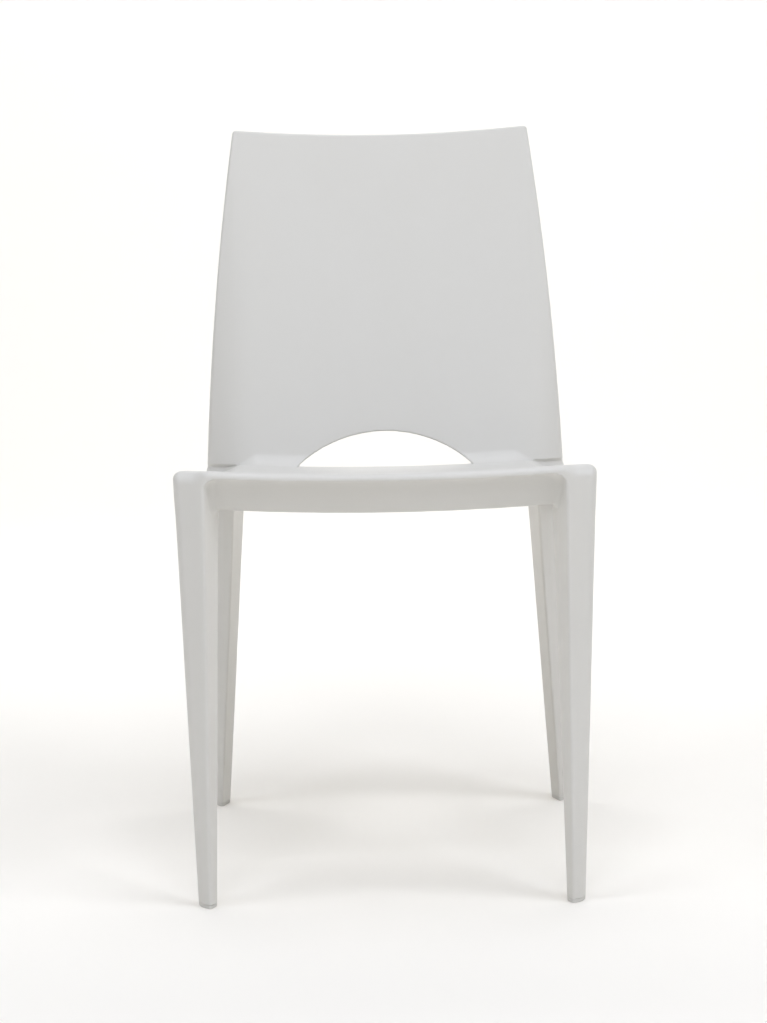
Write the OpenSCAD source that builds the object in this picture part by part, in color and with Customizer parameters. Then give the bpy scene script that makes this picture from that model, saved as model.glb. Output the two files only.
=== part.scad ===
// One-piece moulded stacking chair with push-in foot glides.
// Millimetres, +Z up. Origin on the floor under the middle of the chair,
// X across the chair, -Y towards the front edge of the seat.

/* [Overall] */
// Height of the top corners of the back above the floor
total_h = 845; // [825:1:865]

/* [Seat] */
// Height of the seat at the middle of its front edge
seat_h = 460; // [450:1:470]
// How far the seat falls towards the back
seat_fall = 27; // [20:1:32]
// Half width across the front corners of the seat
seat_hw = 221.5; // [215:0.5:228]
// Hollowing of the seat across its width
seat_dish = 6; // [3:0.5:9]
// Drop of the seat's shoulders beside the back
shoulder_drop = 11; // [6:1:13]
// Wall thickness of the moulding
wall = 4.6; // [4:0.1:5]
// Height of the apron below the seat
apron_h = 43; // [38:1:48]

/* [Back] */
// Half width of the back at its top edge
back_top_hw = 182; // [176:1:190]
// Half width of the back where it meets the seat
back_low_hw = 218; // [212:1:220]
// Distance of the back from the front of the chair, at the seat
back_low_y = 400; // [395:1:405]
// Distance of the back from the front of the chair, at its top corners
back_top_y = 505; // [495:1:510]
// Hollowing of the back across its width
back_dish = 9; // [4:1:12]
// Slope to the rear of the back's swept side edges, at the seat
sweep = 0.91; // [0.7:0.01:1]
// Half width of the part of the back between the swept sides
sweep_x = 156; // [150:1:165]
// Dip of the top edge between its corners
top_dip = 8; // [4:1:12]
// Radius of the half-moon opening
moon_r = 160; // [150:1:170]
// Height of the top of the half-moon opening
moon_top = 475; // [468:1:482]

/* [Legs] */
// Half distance between the outer faces of the front feet
front_foot_hw = 206.5; // [200:0.5:210]
// Half distance between the outer faces of the rear feet
rear_foot_hw = 225; // [220:0.5:230]
// Thickness of the foot glides
glide_t = 4; // [3:0.5:6]
// Diameter of a glide's stem
stem_d = 8; // [7:0.5:9]
// Length of a glide's stem
stem_l = 14; // [10:1:18]

/* [Hidden] */

plastic = [0.86, 0.86, 0.85];
glide_grey = [0.80, 0.80, 0.79];

function lerp(a, b, t) = a + (b - a) * t;
function c01(t) = min(1, max(0, t));
function ease(t) = let (c = c01(t)) c * c * (3 - 2 * c);

// ---------- surfaces (y counted from the front plane) ----------

// Height of the seat's top surface
function seat_z(x, y) =
    seat_h - seat_fall * sin(90 * c01((y - 10) / 345))
    + seat_dish * pow(min(abs(x), 200) / 190, 2)
    - shoulder_drop * ease((abs(x) - shoulder_x(y)) / 30) * ease((y - 60) / 220);
function shoulder_x(y) = lerp(206, 171, ease(y / 380));

// Half width of the back at height z
function back_hw(z) =
    let (t = c01((z - 433) / (total_h - 433)))
    lerp(back_low_hw, back_top_hw, t) + 5.2 * 4 * t * (1 - t);
// Slope of the swept edge at height z
function sweep_at(z) = lerp(sweep, 0.05, 1 - pow(1 - c01((z - 433) / (total_h - 433)), 1.5));
// Front surface of the back
function back_y(x, z) =
    let (t = (z - 433) / (total_h - 433),
         out = max(abs(x) - sweep_x, 0))
    lerp(back_low_y, back_top_y, t) + 4 * sin(180 * c01(t))
    + back_dish * (0.35 + 0.65 * c01(t)) * (1 - pow(min(1, abs(x) / back_top_hw), 2))
    + sweep_at(z) * out * out / (2 * (back_hw(z) - sweep_x));
// Top edge of the back
function top_z(x) = total_h - top_dip * (1 - pow(min(1, abs(x) / back_top_hw), 2));

// Overall depth, from the ridges of the front legs to the rear of the back's top edge
depth = back_y(0, top_z(0)) + wall * 0.97;

// ---------- general thick sheet ----------

function cross3(a, b) = [a[1]*b[2]-a[2]*b[1], a[2]*b[0]-a[0]*b[2], a[0]*b[1]-a[1]*b[0]];
function unit(v) = v / max(norm(v), 1e-9);
function nrm(P, i, j) =
    let (n = len(P) - 1, m = len(P[0]) - 1,
         a = P[min(n, i + 1)][j] - P[max(0, i - 1)][j],
         b = P[i][min(m, j + 1)] - P[i][max(0, j - 1)])
    unit(cross3(a, b));

// P[i][j] is the outer face; the sheet grows by t against its normal
module sheet(P, t = wall) {
    n = len(P); m = len(P[0]);
    Q = [for (i = [0:n-1]) [for (j = [0:m-1]) P[i][j] - t * nrm(P, i, j)]];
    pts = concat([for (r = P) each r], [for (r = Q) each r]);
    o = n * m;
    top = [for (i = [0:n-2], j = [0:m-2]) each
        [[i*m+j, i*m+j+1, (i+1)*m+j+1], [i*m+j, (i+1)*m+j+1, (i+1)*m+j]]];
    bot = [for (f = top) [o+f[0], o+f[2], o+f[1]]];
    sj = [for (j = [0:m-2]) each
        [[j, o+j, o+j+1], [j, o+j+1, j+1],
         [(n-1)*m+j, (n-1)*m+j+1, o+(n-1)*m+j+1], [(n-1)*m+j, o+(n-1)*m+j+1, o+(n-1)*m+j]]];
    si = [for (i = [0:n-2]) each
        [[i*m, (i+1)*m, o+(i+1)*m], [i*m, o+(i+1)*m, o+i*m],
         [i*m+m-1, o+i*m+m-1, o+(i+1)*m+m-1], [i*m+m-1, o+(i+1)*m+m-1, (i+1)*m+m-1]]];
    polyhedron(points = pts, faces = concat(top, bot, sj, si), convexity = 6);
}

// ---------- the shell ----------

// ---------- seat with its folded-down aprons, as one tray ----------

rear_y = 411;
// Half width of the seat's side at distance y from the front
function side_x(y) = seat_hw - 3.5 * ease((y - 60) / 330);
// Plan outline, anticlockwise from the front left corner: [x, y, outward x, outward y, frontness]
nf = 12; ns = 12; nc = 3;
function outline() =
    let (cr = 16)
    concat(
        [for (i = [0:nf]) let (x = lerp(-(seat_hw - cr), seat_hw - cr, i / nf)) [x, 1, 0, -1, 1]],
        [for (i = [1:nc]) let (a = -90 + 90 * i / (nc + 1)) [seat_hw - cr + cr * cos(a), 1 + cr + cr * sin(a), cos(a), sin(a), 1 - i / (nc + 1)]],
        [for (i = [0:ns]) let (y = lerp(1 + cr, rear_y - cr, i / ns)) [side_x(y), y, 1, 0, 0]],
        [for (i = [1:nc]) let (a = 90 * i / (nc + 1)) [side_x(rear_y) - cr + cr * cos(a), rear_y - cr + cr * sin(a), cos(a), sin(a), 0]],
        [for (i = [0:nf]) let (x = lerp(side_x(rear_y) - cr, -(side_x(rear_y) - cr), i / nf)) [x, rear_y, 0, 1, 0]],
        [for (i = [1:nc]) let (a = 90 + 90 * i / (nc + 1)) [-side_x(rear_y) + cr + cr * cos(a), rear_y - cr + cr * sin(a), cos(a), sin(a), 0]],
        [for (i = [0:ns]) let (y = lerp(rear_y - cr, 1 + cr, i / ns)) [-side_x(y), y, -1, 0, 0]],
        [for (i = [1:nc]) let (a = 180 + 90 * i / (nc + 1)) [-(seat_hw - cr) + cr * cos(a), 1 + cr + cr * sin(a), cos(a), sin(a), i / (nc + 1)]]);
// Lower edge of the apron: bowed at the front, arched along the sides
function apron_z(o) =
    let (front = seat_h - apron_h + 7 - 7 * (1 - pow(min(1, abs(o[0]) / 190), 2)),
         side = seat_h - apron_h - 4 - 6 * (pow(c01((150 - o[1]) / 150), 2)),
         back = seat_h - seat_fall - 40)
    lerp(lerp(side, back, ease((o[1] - 330) / 60)), front, o[4]);
// Point of ring k of the outer face (inner = false) or the inner face
function inset(o, d) = [o[0] - o[2] * d, o[1] - o[3] * d];
function ring_pt(o, k, inner) =
    let (w = inner ? wall : 0,
         top_in = inset(o, 11),
         zt = seat_z(top_in[0], top_in[1]),
         zb = apron_z(o))
    k == 0 ? let (p = inset(o, lerp(2.6, 30, o[4]) + w)) [p[0], p[1], zb]
  : k == 1 ? let (p = inset(o, lerp(1.4, 19, o[4]) + w)) [p[0], p[1], lerp(zb, zt - 12, 0.5)]
  : k == 2 ? let (p = inset(o, lerp(0.2, 8, o[4]) + w)) [p[0], p[1], zt - 10 - (inner ? 4 : 0)]
  : k == 3 ? (inner ? let (p = inset(o, lerp(1.5, 8, o[4]) + w)) [p[0], p[1], zt - wall - 5]
                    : let (p = inset(o, 0)) [p[0], p[1], zt - 7.5])
  : k == 4 ? (inner ? let (p = inset(o, lerp(5, 9, o[4]) + w)) [p[0], p[1], zt - wall - 1.4]
                    : let (p = inset(o, 2.2)) [p[0], p[1], zt - 2.8])
  : k == 5 ? (inner ? let (p = inset(o, 9 + w)) [p[0], p[1], seat_z(p[0], p[1]) - wall]
                    : let (p = inset(o, 6)) [p[0], p[1], zt - 0.5])
  : let (q = inset(o, inner ? 10.5 + w : 11), g = [1, 0.8, 0.6, 0.4, 0.2][k - 6],
         x = q[0] * g, y = 205 + (q[1] - 205) * g) [x, y, seat_z(x, y) - w];
nk = 10;
module tray() {
    O = outline(); n = len(O);
    A = [for (k = [0:nk]) for (o = O) ring_pt(o, k, false)];
    B = [for (k = [0:nk]) for (o = O) ring_pt(o, k, true)];
    c = (nk + 1) * n; e = 2 * c;
    pts = concat(A, B, [[0, 205, seat_z(0, 205)], [0, 205, seat_z(0, 205) - wall]]);
    outer = [for (k = [0:nk-1], i = [0:n-1]) let (j = (i + 1) % n) each
        [[k*n+i, (k+1)*n+i, (k+1)*n+j], [k*n+i, (k+1)*n+j, k*n+j]]];
    fan = [for (i = [0:n-1]) [nk*n+i, e, nk*n+(i+1)%n]];
    inner = [for (f = outer) [c+f[0], c+f[2], c+f[1]]];
    fan2 = [for (i = [0:n-1]) [c+nk*n+i, c+nk*n+(i+1)%n, e+1]];
    rim = [for (i = [0:n-1]) let (j = (i + 1) % n) each [[i, j, c+j], [i, c+j, c+i]]];
    polyhedron(points = pts, faces = concat(outer, fan, inner, fan2, rim), convexity = 8);
}

// Back: a curved sheet whose lower edge runs down through the seat
module back_sheet() {
    nx = 22; nz = 14;
    P = [for (i = [0:nz]) [for (j = [0:nx])
            let (s = 1 - 2 * j / nx, z = lerp(417, top_z(s * back_top_hw), i / nz),
                 x = s * back_hw(z), zz = lerp(417, top_z(x), i / nz))
            [x, back_y(x, zz), zz]]];
    sheet(P);
}
// Hollow fillet between the seat and the back, beside the opening
module fillet() {
    xs = [for (i = [0:6]) lerp(88, 176, i / 6)];
    prof = function (x) let (r = 14 * (1 - 0.6 * pow(c01((x - 156) / 20), 2)),
        yb = back_y(x, 440), zs = seat_z(x, yb - r))
        concat([[yb - r - 2, zs - 2.4]],
               [for (a = [0:18:90]) [yb - r + r * sin(a) + 0.4, zs + r - r * cos(a) - 0.4]],
               [[yb + 2.6, zs + r + 2], [yb + 2.2, zs - 2.4]]);
    m = len(prof(100)); n = len(xs);
    pts = [for (x = xs) for (p = prof(x)) [x, p[0], p[1]]];
    // profile runs anticlockwise seen from -X
    side = [for (i = [0:n-2], j = [0:m-1]) let (k = (j + 1) % m) each
        [[i*m+j, (i+1)*m+j, (i+1)*m+k], [i*m+j, (i+1)*m+k, i*m+k]]];
    capa = [for (j = [1:m-2]) [m-1, j-1, j]];
    capb = [for (j = [1:m-2]) [(n-1)*m+m-1, (n-1)*m+j, (n-1)*m+j-1]];
    polyhedron(points = pts, faces = [for (f = concat(side, capa, capb)) [f[0], f[2], f[1]]], convexity = 4);
}

// A level of a leg: rounded quadrilateral given by four corner circles
module level(c, r, z) {
    for (p = c) translate([p[0], p[1], z]) cylinder(r = r, h = 0.2, $fn = 12);
}
module loft(L) {
    for (i = [0:len(L) - 2]) hull() {
        level(L[i][1], L[i][2], L[i][0]);
        level(L[i+1][1], L[i+1][2], L[i+1][0]);
    }
}
// Corner centres [ridge, outer front, outer rear, inner rear] of a front leg
function fl(z, r) =
    let (xo = front_foot_hw + 0.0325 * z, xr = 192.1 - 0.0086 * z,
         xi = 184.2 - 0.0207 * z, g = pow(c01((z - 300) / 155), 2))
    [[xr, r], [xo - r, 13 + 0.012 * z + r / 2], [xo - r, 31 + 0.06 * z + 34 * g - r], [xi + r, 18 + 0.064 * z + 10 * g - r]];
// The same of a rear leg
function rl(z, r) =
    let (xo = rear_foot_hw - 0.0125 * z, xr = 213 - 0.074 * z, xi = 202.5 - 0.0715 * z,
         yf = 467 - 0.165 * z, g = pow(c01((z - 300) / 155), 2))
    [[xr, yf + r - 26 * g], [xo - r, yf + 12 + 0.03 * z + r / 2 - 18 * g],
     [xo - r, 499 - 0.055 * z - r], [xi + r, 496 - 0.085 * z - r]];
leg_z = [glide_t, 110, 220, 310, 370, 420];
module leg_solid(rear) {
    loft([for (z = leg_z) [z, rear ? rl(z, 4) : fl(z, 4), 4]]);
    // head of the leg, up into the seat's corner
    loft(rear ? [[420, rl(420, 4), 4], [428, rl(428, 5), 5]]
              : [[420, fl(420, 4), 4], [446, fl(446, 5), 5], [456, [for (p = fl(446, 11)) [min(p[0], seat_hw - 12), max(p[1], 12)]], 10]]);
}
module leg_core(rear) {
    loft([for (z = [60, 210, 300, 360, 405])
        let (p = rear ? rl(z, 4) : fl(z, 4), c = (p[0] + p[1] + p[2] + p[3]) / 4, k = lerp(0.3, 0.5, z / 400))
        [z, [for (q = p) c + (q - c) * k], 2.2]]);
    // socket of the glide's stem, open to the hollow of the leg
    c = foot_c(rear);
    translate([c[0], c[1], glide_t - 1]) cylinder(d = stem_d + 0.6, h = 70, $fn = 32);
}
function foot_c(rear) = rear ? [214.3, 485.5] : [197, 18];

// Closed edge behind the rolled side of the back, carrying the line of the rear leg upwards
module stile() {
    L = [for (z = [424, 470, 540, 620, 700, 780, 832])
        let (hw = back_hw(z), r = 2.2, xo = hw - r + 0.3, xi = hw - wall - 1, yf = back_y(xo, z) + r - 0.8, ye = edge_y(z) - r)
        [z, [[xi, yf + 0.4], [xo, yf], [xo, ye], [xi + 0.6, ye]], r]];
    loft(L);
}
// Rear of the flange at height z
function edge_y(z) = let (t = c01((z - 433) / (total_h - 433)))
    lerp(back_low_y, back_top_y, t) + 4 * sin(180 * t) + lerp(73, 8.5, pow(c01((z - 430) / 415), 0.85));

module half(s) { if (s < 0) mirror([1, 0, 0]) children(); else children(); }

module shell() {
    color(plastic) translate([0, -depth / 2, 0]) difference() {
        union() {
            tray();
            difference() {
                union() {
                    back_sheet();
                    for (s = [-1, 1]) half(s) fillet();
                }
                translate([0, 340, moon_top - moon_r]) rotate([-90, 0, 0]) cylinder(r = moon_r, h = 120, $fn = 96);
            }
            for (s = [-1, 1]) half(s) {
                leg_solid(false);
                leg_solid(true);
                stile();
            }
        }
        for (s = [-1, 1]) half(s) { leg_core(false); leg_core(true); }
    }
}

// A glide: flat sole with the outline of the foot, and a round stem
module glide(rear) {
    c = foot_c(rear);
    color(glide_grey) translate([0, -depth / 2, 0]) {
        hull() {
            level(rear ? rl(4, 4) : fl(4, 4), 3.2, 0);
            level(rear ? rl(4, 4) : fl(4, 4), 4, 1);
            level(rear ? rl(4, 4) : fl(4, 4), 4, glide_t - 0.2);
        }
        translate([c[0], c[1], glide_t - 1]) cylinder(d = stem_d, h = stem_l + 1, $fn = 32);
    }
}
module glide_front_left() { mirror([1, 0, 0]) glide(false); }
module glide_front_right() { glide(false); }
module glide_rear_left() { mirror([1, 0, 0]) glide(true); }
module glide_rear_right() { glide(true); }

shell();
glide_front_left();
glide_front_right();
glide_rear_left();
glide_rear_right();
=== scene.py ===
# Stacking chair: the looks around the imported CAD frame.
import bpy, math
import numpy as np
from mathutils import Vector, Matrix


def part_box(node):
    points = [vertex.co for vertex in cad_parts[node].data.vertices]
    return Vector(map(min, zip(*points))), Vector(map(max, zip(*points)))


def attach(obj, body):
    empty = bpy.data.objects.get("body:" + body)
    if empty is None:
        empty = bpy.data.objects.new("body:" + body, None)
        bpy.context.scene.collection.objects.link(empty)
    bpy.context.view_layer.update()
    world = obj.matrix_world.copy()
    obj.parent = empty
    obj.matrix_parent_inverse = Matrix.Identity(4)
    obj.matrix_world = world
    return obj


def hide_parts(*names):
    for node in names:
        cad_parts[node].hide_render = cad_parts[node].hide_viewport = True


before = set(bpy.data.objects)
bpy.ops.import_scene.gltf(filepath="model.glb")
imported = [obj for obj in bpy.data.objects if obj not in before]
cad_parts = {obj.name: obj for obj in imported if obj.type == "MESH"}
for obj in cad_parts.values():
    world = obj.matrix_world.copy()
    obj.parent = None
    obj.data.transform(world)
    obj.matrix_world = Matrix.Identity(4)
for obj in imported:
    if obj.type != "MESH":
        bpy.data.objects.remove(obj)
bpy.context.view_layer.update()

# ------------------------------------------------------------------ shape
# Lengths in millimetres. x = distance from the symmetry plane, y = distance
# behind the front plane of the chair, z = height above the floor.
WALL = 4.6
H = 845.0
box_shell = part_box("shell")
Y0 = box_shell[0][1] * 1000.0          # the front plane in the frame


def c01(t):
    return np.clip(t, 0.0, 1.0)


def ease(t):
    c = np.clip(t, 0.0, 1.0)
    return c * c * (3 - 2 * c)


def lerp(a, b, t):
    return a + (b - a) * t


def rmax(a, b, r):
    """intersection whose convex edge is rounded with radius r"""
    u = np.maximum(a + r, 0)
    v = np.maximum(b + r, 0)
    return np.minimum(np.maximum(a, b), -r) + np.sqrt(u * u + v * v)


def rmin(a, b, r):
    """union whose hollow corner is filled with radius r"""
    return -rmax(-a, -b, r)


def seat_z(x, y):
    xd = np.minimum(x, 205.0)
    return (460.0 - 27.0 * np.sin(np.pi / 2 * c01((y - 10) / 345.0))
            + 6.0 * (xd / 190.0) ** 2
            - 11.0 * ease((x - lerp(206.0, 171.0, ease(y / 380.0))) / 30.0) * ease((y - 60) / 220.0))


def back_hw(z):
    t = c01((z - 433) / (H - 433))
    return lerp(218.0, 182.0, t) + 5.2 * 4 * t * (1 - t)


def back_y(x, z):
    """front surface of the back: dished, with sides that sweep to the rear"""
    t = (z - 433) / (H - 433)
    tc = c01(t)
    hw = back_hw(z)
    slope = 0.86 * (1 - tc) ** 1.5 + 0.05
    sweep = np.maximum(x - 156.0, 0.0)
    return (lerp(400.0, 505.0, t) + 4.0 * np.sin(np.pi * tc)
            + 9.0 * (0.35 + 0.65 * tc) * (1 - np.minimum(1, x / 182.0) ** 2)
            + slope * sweep ** 2 / (2 * (hw - 156.0)))


def line(px, py, qx, qy, x, y, side):
    """signed distance to the vertical plane through two plan points, positive on one side"""
    dx, dy = qx - px, qy - py
    n = np.sqrt(dx * dx + dy * dy)
    return side * ((x - px) * dy - (y - py) * dx) / n


def side_env(y, z):
    """outer side face of the legs and of the seat's side apron"""
    front = 206.5 + 0.0325 * z
    rear = 225.0 - 0.0155 * z
    return lerp(front, rear, ease((y - 80.0) / 300.0)) + 0.6 * ease((z - 405.0) / 40.0) * (1 - ease((y - 40.0) / 120.0))


def sdf(x, y, z):
    x = np.sqrt(x * x + 0.01)
    zs = seat_z(x, y)
    top = (z - zs) * 0.995

    # seat and aprons: a tray of even wall
    q = zs - z
    d_side = x - (side_env(y, 430.0) - 0.6)
    d_rec = (5.0 + 0.566 * np.clip(q, -20.0, 60.0) - y) * 0.87
    d_rear = y - 411.0
    plan = rmax(rmax(d_side, d_rec, 12.0), d_rear, 12.0)
    solid = rmax(plan, top, 8.0)
    tray = np.abs(solid + WALL / 2) - WALL / 2
    zb_front = 424.0 - 7.0 * (1 - np.minimum(1, x / 190.0) ** 2)
    zb_side = 413.0 - 5.0 * c01((150 - y) / 150.0) ** 2
    zb = lerp(lerp(zb_front, zb_side, ease((y - 34.0) / 40.0)), 393.0, ease((y - 345.0) / 50.0))
    tray = rmax(tray, zb - z, 1.9)

    # front lip of the seat
    y_lip = 0.4 + 0.39 * (np.sqrt((x - 189.0) ** 2 + 9.0) + (x - 189.0)) / 2
    d_lip = (y_lip - y) * lerp(1.0, 0.93, ease((x - 184) / 10))
    slab = rmax(d_lip, top, 6.0)
    slab = rmax(slab, -top - 8.0, 1.3)
    slab = rmax(slab, y - 34.0, 1.0)
    slab = np.maximum(slab, d_side)

    # front leg
    g = c01((z - 292.0) / 150.0) ** 2.2
    xr, yr = 192.1 - 0.0086 * z, 0.3
    xi, yi = 184.2 - 0.0207 * z, 16.5 + 0.064 * z + 12 * g
    xo, yo = side_env(0.0, z), 13.0 - 0.0023 * z
    yq = 32.0 + 0.06 * z + 46 * g
    e1 = line(xr, yr, xi, yi, x, y, -1.0)
    e2 = line(xr, yr, xo, yo, x, y, 1.0)
    e3 = x - xo
    e4 = line(xi, yi, xo, yq, x, y, -1.0)
    legf = rmax(rmax(e1, e2, 4.2), rmax(e3, e4, 8.0), 7.0)

    # rear leg
    yr2 = 467.0 - 0.165 * z - 30.0 * g
    xr2 = 213.0 - 0.074 * z
    xi2, yi2 = 202.5 - 0.0715 * z, 496.0 - 0.085 * z
    xo2 = 225.0 - 0.0155 * z
    yo2 = yr2 + 12.0 + 0.03 * z + 10.0 * g
    yq2 = 499.0 - 0.055 * z
    b1 = line(xr2, yr2, xi2, yi2, x, y, -1.0)
    b2 = line(xr2, yr2, xo2, yo2, x, y, 1.0)
    b3 = x - xo2
    b4 = line(xi2, yi2, xo2, yq2, x, y, -1.0)
    r_of = lerp(7.0, 22.0, ease((z - 150.0) / 280.0))
    legr = rmax(rmax(b1, b2, 4.2), rmax(b3, b4, 8.0), 7.0)
    legr = rmax(legr, b2 * 0.5 + b3 * 0.5 + r_of * 0.28, 6.0)

    portal = rmin(slab, legf, 12.0)
    body = rmin(tray, portal, 1.4 + 7.0 * ease((x - 168.0) / 14.0))
    body = rmin(body, legr, 8.0)

    # outer envelope: keeps the outer faces true and rolls the seat's edges
    e_side = x - side_env(y, z)
    e_front = d_lip
    w = ease((e_side - e_front + 7.0) / 14.0)
    r_roll = lerp(lerp(6.0, 16.0, ease((x - 184.0) / 18.0)), 9.5, w)
    r_roll = lerp(r_roll, 12.0, ease((y - 60) / 200.0))
    r_roll = lerp(r_roll, 2.0, ease((y - 405.0) / 35.0))
    env = rmax(rmax(e_side, e_front, 7.0), top, r_roll)
    body = np.maximum(body, env)

    # back
    hw = back_hw(z)
    yb = back_y(x, z)
    tc = c01((z - 433) / (H - 433))
    sl = (0.86 * (1 - tc) ** 1.5 + 0.05) * np.maximum(x - 156.0, 0.0) / (hw - 156.0)
    # below the seat's level the wing steps back a little behind its lower edge
    tuck = 4.5 * ease((438.5 - z) / 4.0) * ease((x - 168.0) / 8.0)
    g_front = (yb + tuck - y) / np.sqrt(1.07 + sl * sl)
    d_bs = x - hw
    sb = rmax(g_front, d_bs, lerp(5.0, 2.6, ease(tc * 1.6)))
    back = np.abs(sb + WALL / 2) - WALL / 2
    top_z = H - 8.0 * (1 - np.minimum(1, x / 182.0) ** 2)
    d_top = (z - top_z) * 0.97
    back = rmax(back, d_top, 2.0)
    back = np.maximum(back, rmax(d_top, d_bs, 4.5))
    depth = lerp(73.0, 8.5, c01((z - 430.0) / 415.0) ** 0.85)
    y_edge = lerp(400.0, 505.0, (z - 433) / (H - 433)) + 4.0 * np.sin(np.pi * tc)
    d_fe = (y - (y_edge + depth + 40.0 * ease((172.0 - x) / 20.0))) * 0.98
    back = rmax(back, d_fe, 2.0)
    back = np.maximum(back, (zs - 3.0) - z)

    # joint between seat and back, with the half-moon opening cut through it
    front_side = ease((yb + 3.0 - y) / 3.0)
    r_in = 1.6 + 13.0 * ease((179.0 - x) / 24.0) * front_side * ease((z - zs + 3.0) / 3.0)
    r_in = r_in + (1 - front_side) * 4.0
    moon = np.sqrt(x * x + (z - 315.0) ** 2) - 160.0
    joined = rmax(rmin(body, back, r_in), -moon, 1.9)
    return np.minimum(body, joined)


STEP = 2.0


def build_field():
    xs = np.arange(-1.5 * STEP, 232.0, STEP, dtype=np.float32) + STEP / 2 - STEP / 2
    xs = (np.arange(int(232 / STEP) + 1, dtype=np.float32) + 0.5) * STEP     # x > 0, mirrored below
    ys = np.arange(-3 * STEP, 526.0, STEP, dtype=np.float32)
    zs = np.arange(4.0 - 3.0 * STEP, 856.0, STEP, dtype=np.float32)
    F = np.empty((len(xs), len(ys), len(zs)), np.float32)
    n = 8
    for a in range(0, len(xs), n):
        F[a:a + n] = sdf(xs[a:a + n, None, None].astype(np.float32), ys[None, :, None], zs[None, None, :])
    F = np.maximum(F, (4.0 - zs)[None, None, :])
    F = np.concatenate([F[::-1], F], axis=0)
    xs = np.concatenate([-xs[::-1], xs])
    return xs, ys, zs, F


def surface_net(xs, ys, zs, F):
    S = F < 0
    nx, ny, nz = F.shape
    cnt = np.zeros((nx - 1, ny - 1, nz - 1), np.uint8)
    for i in (0, 1):
        for j in (0, 1):
            for k in (0, 1):
                cnt += S[i:nx - 1 + i, j:ny - 1 + j, k:nz - 1 + k]
    act = np.argwhere((cnt > 0) & (cnt < 8))
    idx = -np.ones(cnt.shape, np.int32)
    idx[act[:, 0], act[:, 1], act[:, 2]] = np.arange(len(act))
    pos = np.zeros((len(act), 3)); num = np.zeros(len(act))
    corners = [(i, j, k) for i in (0, 1) for j in (0, 1) for k in (0, 1)]
    val = {c: F[act[:, 0] + c[0], act[:, 1] + c[1], act[:, 2] + c[2]].astype(np.float64) for c in corners}
    for c in corners:
        for ax in range(3):
            if c[ax] == 0:
                d = list(c); d[ax] = 1; d = tuple(d)
                a, b = val[c], val[d]
                m = (a < 0) != (b < 0)
                t = np.where(m, a / np.where(m, a - b, 1.0), 0.0)
                p = np.tile(np.array(c, float), (len(act), 1)); p[:, ax] += t
                pos[m] += p[m]; num[m] += 1
    pos = pos / num[:, None] + act
    h = float(xs[1] - xs[0])
    V = pos * h + np.array([xs[0], ys[0], zs[0]], float)
    quads = []
    for ax in range(3):
        a = [slice(0, s) for s in F.shape]; b = [slice(0, s) for s in F.shape]
        a[ax] = slice(0, F.shape[ax] - 1); b[ax] = slice(1, F.shape[ax])
        A = S[tuple(a)]; B = S[tuple(b)]
        e = np.argwhere(A != B)
        o1, o2 = (ax + 1) % 3, (ax + 2) % 3
        e = e[(e[:, o1] > 0) & (e[:, o2] > 0)]
        inside_first = A[e[:, 0], e[:, 1], e[:, 2]]

        def cell(d1, d2):
            c = e.copy(); c[:, o1] -= d1; c[:, o2] -= d2
            return idx[c[:, 0], c[:, 1], c[:, 2]]
        q = np.stack([cell(1, 1), cell(0, 1), cell(0, 0), cell(1, 0)], 1)
        q[~inside_first] = q[~inside_first][:, ::-1]
        quads.append(q)
    return V, np.concatenate(quads)


def grad(P, eps=0.2):
    g = np.empty_like(P)
    for ax in range(3):
        d = np.zeros(3); d[ax] = eps
        a, b = P + d, P - d
        g[:, ax] = (sdf(a[:, 0], a[:, 1], a[:, 2]) - sdf(b[:, 0], b[:, 1], b[:, 2])) / (2 * eps)
    return g


def project(P, steps=3, cap=0.8, sole=4.0):
    flat = P[:, 2] < sole + 0.02 + STEP * 0.5
    for _ in range(steps):
        d = sdf(P[:, 0], P[:, 1], P[:, 2])
        g = grad(P)
        n2 = np.maximum((g * g).sum(1), 0.2)
        s = -(d / n2)[:, None] * g
        L = np.linalg.norm(s, axis=1)
        s *= np.minimum(1, cap / np.maximum(L, 1e-9))[:, None]
        P = P + s
    P[:, 2] = np.maximum(P[:, 2], sole)
    return P


import time
t0 = time.time()
xs, ys, zs, F = build_field()
t1 = time.time()
V, Q = surface_net(xs, ys, zs, F)
del F
t2 = time.time()
V = project(V)
print("field %.1f net %.1f project %.1f verts %d quads %d" % (t1 - t0, t2 - t1, time.time() - t2, len(V), len(Q)), flush=True)


def to_frame(P):
    W = P.copy()
    W[:, 1] += Y0
    return W * 0.001


def new_object(name, me):
    ob = bpy.data.objects.new(name, me)
    bpy.context.scene.collection.objects.link(ob)
    return ob


def mesh_from(name, V, Fc):
    me = bpy.data.meshes.new(name)
    me.from_pydata(V.tolist(), [], Fc.tolist())
    me.update()
    return me


def apply_modifiers(ob):
    dg = bpy.context.evaluated_depsgraph_get()
    me = bpy.data.meshes.new_from_object(ob.evaluated_get(dg))
    ob.modifiers.clear()
    old = ob.data
    ob.data = me
    bpy.data.meshes.remove(old)
    return me


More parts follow.
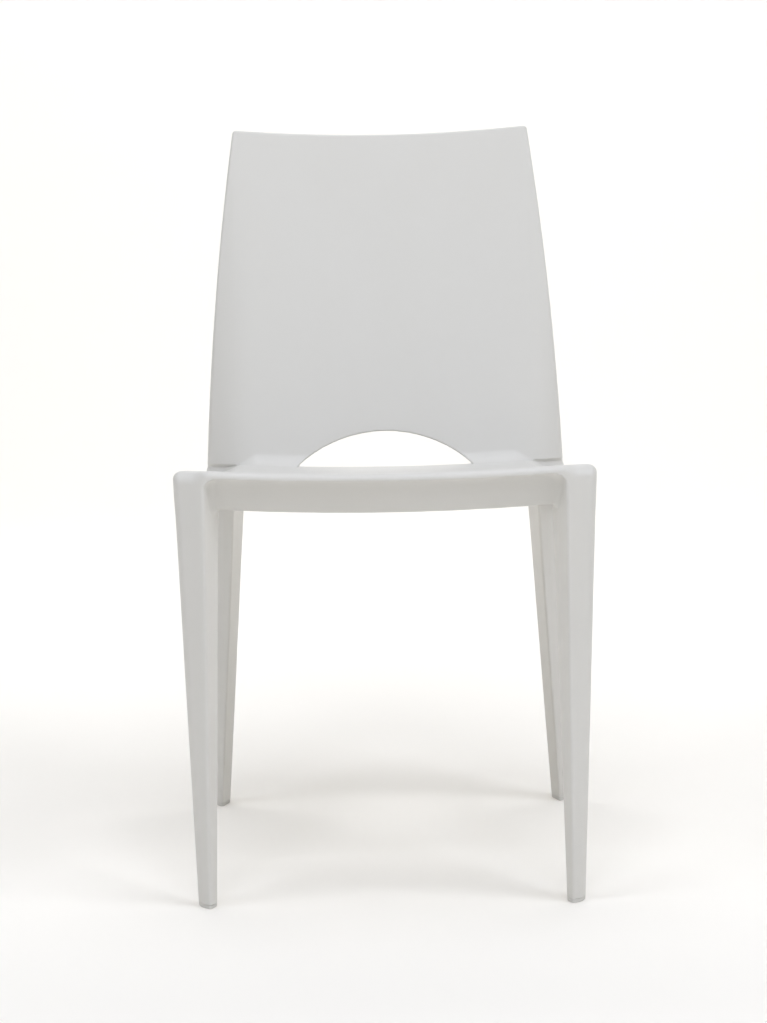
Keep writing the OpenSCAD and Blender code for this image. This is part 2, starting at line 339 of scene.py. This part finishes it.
shell_me = mesh_from("chair_shell", to_frame(V), Q)
shell = new_object("chair_shell", shell_me)
TARGET = 190000
tris = len(Q) * 2
if tris > TARGET:
    m = shell.modifiers.new("dec", "DECIMATE")
    m.ratio = TARGET / tris
    m.use_symmetry = False
    shell_me = apply_modifiers(shell)
n = len(shell_me.vertices)
co = np.empty(n * 3); shell_me.vertices.foreach_get("co", co)
P = co.reshape(-1, 3) * 1000.0
P[:, 1] -= Y0
P = project(P, steps=2, cap=0.5)
G = grad(P, 0.3)
sole = P[:, 2] < 4.01
G[sole] = (0, 0, -1)
G /= np.maximum(np.linalg.norm(G, axis=1), 1e-9)[:, None]
shell_me.vertices.foreach_set("co", to_frame(P).ravel())
shell_me.update()
for p in shell_me.polygons:
    p.use_smooth = True
shell_me.normals_split_custom_set_from_vertices(G.tolist())
print("shell faces", len(shell_me.polygons), "total %.1f s" % (time.time() - t0), flush=True)

# ------------------------------------------------------------------ glides
def glide(name, cx, cy):
    """flat push-in glide: its outline follows the foot of the leg, with a narrow shadow gap under the leg"""
    N = 96
    th = np.arange(N) * 2 * math.pi / N
    ux, uy = np.cos(th), np.sin(th)
    rings = [(0.0, 1.6), (0.12, 1.1), (0.4, 0.7), (0.9, 0.45), (1.6, 0.35), (3.2, 0.3),
             (3.6, 0.4), (3.75, 0.7), (3.98, 0.75)]
    sign = -1.0 if cx < 0 else 1.0
    ax = abs(cx)
    vs = []
    for z, inset in rings:
        lo = np.zeros(N); hi = np.full(N, 30.0)
        for _ in range(34):
            mid = (lo + hi) / 2
            f = sdf(ax + mid * ux, cy + mid * uy, np.full(N, 6.0)) + inset
            lo = np.where(f < 0, mid, lo); hi = np.where(f < 0, hi, mid)
        for i in range(N):
            vs.append((sign * (ax + lo[i] * ux[i]), cy + lo[i] * uy[i], z))
    fs = []
    R = len(rings)
    for k in range(R - 1):
        for i in range(N):
            j = (i + 1) % N
            fs.append((k * N + i, k * N + j, (k + 1) * N + j, (k + 1) * N + i))
    vs.append((cx, cy, 0.0)); c0 = len(vs) - 1
    vs.append((cx, cy, rings[-1][0])); c1 = len(vs) - 1
    for i in range(N):
        j = (i + 1) % N
        fs.append((c0, j, i))
        fs.append((c1, (R - 1) * N + i, (R - 1) * N + j))
    if sign < 0:
        fs = [f[::-1] for f in fs]
    me = bpy.data.meshes.new("visual_" + name)
    me.from_pydata(to_frame(np.array(vs)).tolist(), [], fs)
    me.update()
    for p in me.polygons:
        p.use_smooth = abs(p.normal.z) < 0.9
    ob = new_object("visual_" + name, me)
    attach(ob, "root")
    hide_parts(name)
    return ob


glides = [glide("glide_front_left", -196.5, 17.5), glide("glide_front_right", 196.5, 17.5),
          glide("glide_rear_left", -214.3, 485.5), glide("glide_rear_right", 214.3, 485.5)]

# ------------------------------------------------------------------ materials
class Net:
    def __init__(self, name):
        self.mat = bpy.data.materials.new(name)
        self.mat.use_nodes = True
        self.nt = self.mat.node_tree
        self.bsdf = self.nt.nodes["Principled BSDF"]
        self.co = self.nt.nodes.new("ShaderNodeTexCoord").outputs["Object"]

    def link(self, a, b):
        self.nt.links.new(a, b)

    def mapped(self, scale, loc=(0, 0, 0)):
        n = self.nt.nodes.new("ShaderNodeMapping")
        n.inputs["Scale"].default_value = scale
        n.inputs["Location"].default_value = loc
        self.link(self.co, n.inputs["Vector"])
        return n.outputs["Vector"]

    def noise(self, vec, scale, detail=2.0, rough=0.5, distortion=0.0):
        n = self.nt.nodes.new("ShaderNodeTexNoise")
        n.inputs["Scale"].default_value = scale
        n.inputs["Detail"].default_value = detail
        n.inputs["Roughness"].default_value = rough
        n.inputs["Distortion"].default_value = distortion
        self.link(vec, n.inputs["Vector"])
        return n.outputs["Fac"]

    def voronoi(self, vec, scale):
        n = self.nt.nodes.new("ShaderNodeTexVoronoi")
        n.inputs["Scale"].default_value = scale
        self.link(vec, n.inputs["Vector"])
        return n.outputs["Distance"]

    def ramp(self, fac, stops):
        n = self.nt.nodes.new("ShaderNodeValToRGB")
        el = n.color_ramp.elements
        el[0].position, el[0].color = stops[0][0], (*stops[0][1], 1)
        el[1].position, el[1].color = stops[-1][0], (*stops[-1][1], 1)
        for pos, col in stops[1:-1]:
            e = el.new(pos); e.color = (*col, 1)
        self.link(fac, n.inputs["Fac"])
        return n.outputs["Color"]

    def span(self, fac, lo, hi, a=0.3, b=0.7):
        n = self.nt.nodes.new("ShaderNodeMapRange")
        n.inputs["From Min"].default_value = a
        n.inputs["From Max"].default_value = b
        n.inputs["To Min"].default_value = lo
        n.inputs["To Max"].default_value = hi
        self.link(fac, n.inputs["Value"])
        return n.outputs["Result"]

    def math(self, op, a, b):
        n = self.nt.nodes.new("ShaderNodeMath")
        n.operation = op
        for k, v in enumerate((a, b)):
            if isinstance(v, (int, float)):
                n.inputs[k].default_value = v
            else:
                self.link(v, n.inputs[k])
        return n.outputs[0]

    def bump(self, height, strength, distance, normal=None):
        n = self.nt.nodes.new("ShaderNodeBump")
        n.inputs["Strength"].default_value = strength
        n.inputs["Distance"].default_value = distance
        self.link(height, n.inputs["Height"])
        if normal is not None:
            self.link(normal, n.inputs["Normal"])
        return n.outputs["Normal"]


def shell_material():
    """satin moulded polypropylene: fine spark-eroded grain, faint flow variation in tone and gloss"""
    m = Net("shell_plastic_look")
    b = m.bsdf
    b.inputs["IOR"].default_value = 1.49
    flow = m.noise(m.mapped((1.0, 1.0, 0.45)), 5.5, 3.0, 0.55, 0.6)
    fine = m.noise(m.mapped((1.0, 1.0, 1.0), (3.1, 1.7, 0.4)), 60.0, 3.0, 0.6)
    tone = m.math("ADD", m.math("MULTIPLY", flow, 0.8), m.math("MULTIPLY", fine, 0.2))
    m.link(m.ramp(tone, [(0.3, (0.692, 0.679, 0.644)), (0.5, (0.700, 0.688, 0.655)), (0.7, (0.707, 0.696, 0.665))]),
           b.inputs["Base Color"])
    gloss = m.noise(m.mapped((1.0, 1.0, 1.0), (0.7, 2.3, 5.1)), 38.0, 4.0, 0.62)
    grain = m.voronoi(m.mapped((1.0, 1.0, 1.0)), 1150.0)
    pit = m.noise(m.mapped((1.0, 1.0, 1.0), (2.0, 0.0, 1.0)), 620.0, 3.0, 0.6)
    rough = m.math("ADD", m.span(gloss, 0.365, 0.425), m.span(grain, -0.012, 0.02, 0.0, 0.7))
    m.link(rough, b.inputs["Roughness"])
    height = m.math("ADD", m.math("MULTIPLY", grain, 0.6), m.math("MULTIPLY", pit, 0.9))
    n1 = m.bump(height, 0.12, 0.00012)
    wave = m.noise(m.mapped((1.0, 1.0, 0.6), (4.0, 4.0, 4.0)), 22.0, 1.0, 0.4)
    m.link(m.bump(wave, 0.10, 0.0006, n1), b.inputs["Normal"])
    return m.mat


def glide_material():
    """matte polyamide: slightly cloudy, with a noisy scuffed roughness"""
    m = Net("glide_plastic_look")
    b = m.bsdf
    b.inputs["IOR"].default_value = 1.53
    cloud = m.noise(m.mapped((1.0, 1.0, 1.0)), 140.0, 4.0, 0.6, 0.4)
    m.link(m.ramp(cloud, [(0.3, (0.665, 0.655, 0.625)), (0.7, (0.705, 0.695, 0.665))]), b.inputs["Base Color"])
    scuff = m.noise(m.mapped((1.0, 1.0, 5.0), (1.0, 2.0, 3.0)), 420.0, 4.0, 0.65)
    m.link(m.span(scuff, 0.48, 0.66), b.inputs["Roughness"])
    m.link(m.bump(scuff, 0.35, 0.00018), b.inputs["Normal"])
    return m.mat


def paper_material():
    """seamless studio paper"""
    m = Net("studio_paper")
    b = m.bsdf
    b.inputs["Base Color"].default_value = (0.95, 0.925, 0.878, 1)
    b.inputs["Roughness"].default_value = 0.9
    b.inputs["Specular IOR Level"].default_value = 0.0
    b.inputs["Emission Color"].default_value = (1.0, 0.99, 0.97, 1)
    # the far floor, beyond the reach of the softboxes, is kept as pale as the near floor
    far = m.nt.nodes.new("ShaderNodeVectorMath")
    far.operation = "LENGTH"
    m.link(m.co, far.inputs[0])
    axes = m.nt.nodes.new("ShaderNodeSeparateXYZ")
    m.link(m.co, axes.inputs[0])
    level = m.span(axes.outputs["Z"], 0.85, 0.03, 0.0, 0.3)
    m.link(m.math("MINIMUM", m.span(far.outputs["Value"], 0.03, 0.85, 5.5, 12.0), level), b.inputs["Emission Strength"])
    fibre = m.noise(m.mapped((1.0, 1.0, 1.0)), 90.0, 3.0, 0.6)
    m.link(m.bump(fibre, 0.05, 0.0005), b.inputs["Normal"])
    return m.mat, b


mat_shell = shell_material()
shell.data.materials.append(mat_shell)
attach(shell, "root")
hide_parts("shell")
mat_glide = glide_material()
for ob in glides:
    ob.data.materials.append(mat_glide)
for nm in ("glide_front_left", "glide_front_right", "glide_rear_left", "glide_rear_right"):
    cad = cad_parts.get(nm)
    if cad is not None and cad.type == "MESH":
        cad.data.materials.clear()
        cad.data.materials.append(mat_glide)

# ------------------------------------------------------------------ stage
def stage_mesh():
    prof = []
    y_back, r = 5.2, 1.6
    for i in range(2):
        prof.append((-30.0 + i * (y_back - r + 30.0), 0.0))
    for i in range(1, 17):
        a = math.pi / 2 * i / 16
        prof.append((y_back - r + r * math.sin(a), r - r * math.cos(a)))
    prof.append((y_back, 7.0))
    vs = []; fs = []
    for (yy, zz) in prof:
        vs += [(-30.0, yy, zz), (30.0, yy, zz)]
    for i in range(len(prof) - 1):
        fs.append((2 * i, 2 * i + 1, 2 * i + 3, 2 * i + 2))
    me = bpy.data.meshes.new("studio_floor")
    me.from_pydata(vs, [], fs)
    for p in me.polygons:
        p.use_smooth = True
    return new_object("studio_floor", me)


floor = stage_mesh()
mat_floor, bf = paper_material()
floor.data.materials.append(mat_floor)

# ------------------------------------------------------------------ light
def area(name, loc, target, size, power, color=(1, 1, 1), size_y=None):
    li = bpy.data.lights.new(name, "AREA")
    li.energy = power
    li.color = color
    li.size = size
    if size_y:
        li.shape = "RECTANGLE"; li.size_y = size_y
    ob = bpy.data.objects.new(name, li)
    bpy.context.scene.collection.objects.link(ob)
    ob.location = loc
    d = Vector(target) - Vector(loc)
    ob.rotation_euler = d.to_track_quat("-Z", "Y").to_euler()
    return ob


COOL = (0.972, 1.0, 1.065)
area("softbox_top", (0.0, 0.4, 8.0), (0, 0.2, 0), 4.6, 138, COOL)
area("softbox_front", (0.0, -6.0, 7.2), (0, 0, 0.4), 5.0, 266, COOL)
area("softbox_right", (4.4, -3.0, 5.6), (0, 0, 0.5), 3.6, 178, COOL)
area("softbox_left", (-4.4, -3.0, 5.6), (0, 0, 0.5), 3.6, 100, COOL)
area("backdrop_wash", (0.0, 2.2, 3.4), (0, 3.6, 1.0), 6.0, 60, size_y=1.5)
world = bpy.data.worlds.new("studio")
bpy.context.scene.world = world
world.use_nodes = True
world.node_tree.nodes["Background"].inputs[0].default_value = (1.0, 0.95, 0.86, 1)
world.node_tree.nodes["Background"].inputs[1].default_value = 0.05
bpy.context.scene.view_settings.view_transform = "Standard"
bpy.context.scene.view_settings.look = "None"

# ------------------------------------------------------------------ camera
CAM_F, CAM_D, CAM_H, CAM_PITCH, CAM_ROLL = 2299.0, 2.376, 0.677, math.radians(6.14), math.radians(1.0)
cam_data = bpy.data.cameras.new("camera")
cam = bpy.data.objects.new("camera", cam_data)
bpy.context.scene.collection.objects.link(cam)
cam_data.sensor_fit = "VERTICAL"
cam_data.sensor_height = 36.0
cam_data.lens = CAM_F / 1023.0 * 36.0
cam_data.clip_end = 50
CAM_YAW = math.radians(0.14)
forward = Vector((0, math.cos(CAM_PITCH), -math.sin(CAM_PITCH)))
right = Vector((1, 0, 0))
up = right.cross(forward)
rot = Matrix((right, up, -forward)).transposed()
rot = rot @ Matrix.Rotation(-CAM_ROLL, 3, "Z")
place = Matrix.Translation((-0.0026, Y0 / 1000.0 - CAM_D, CAM_H)) @ rot.to_4x4()
cam.matrix_world = Matrix.Rotation(CAM_YAW, 4, "Z") @ place
bpy.context.scene.camera = cam
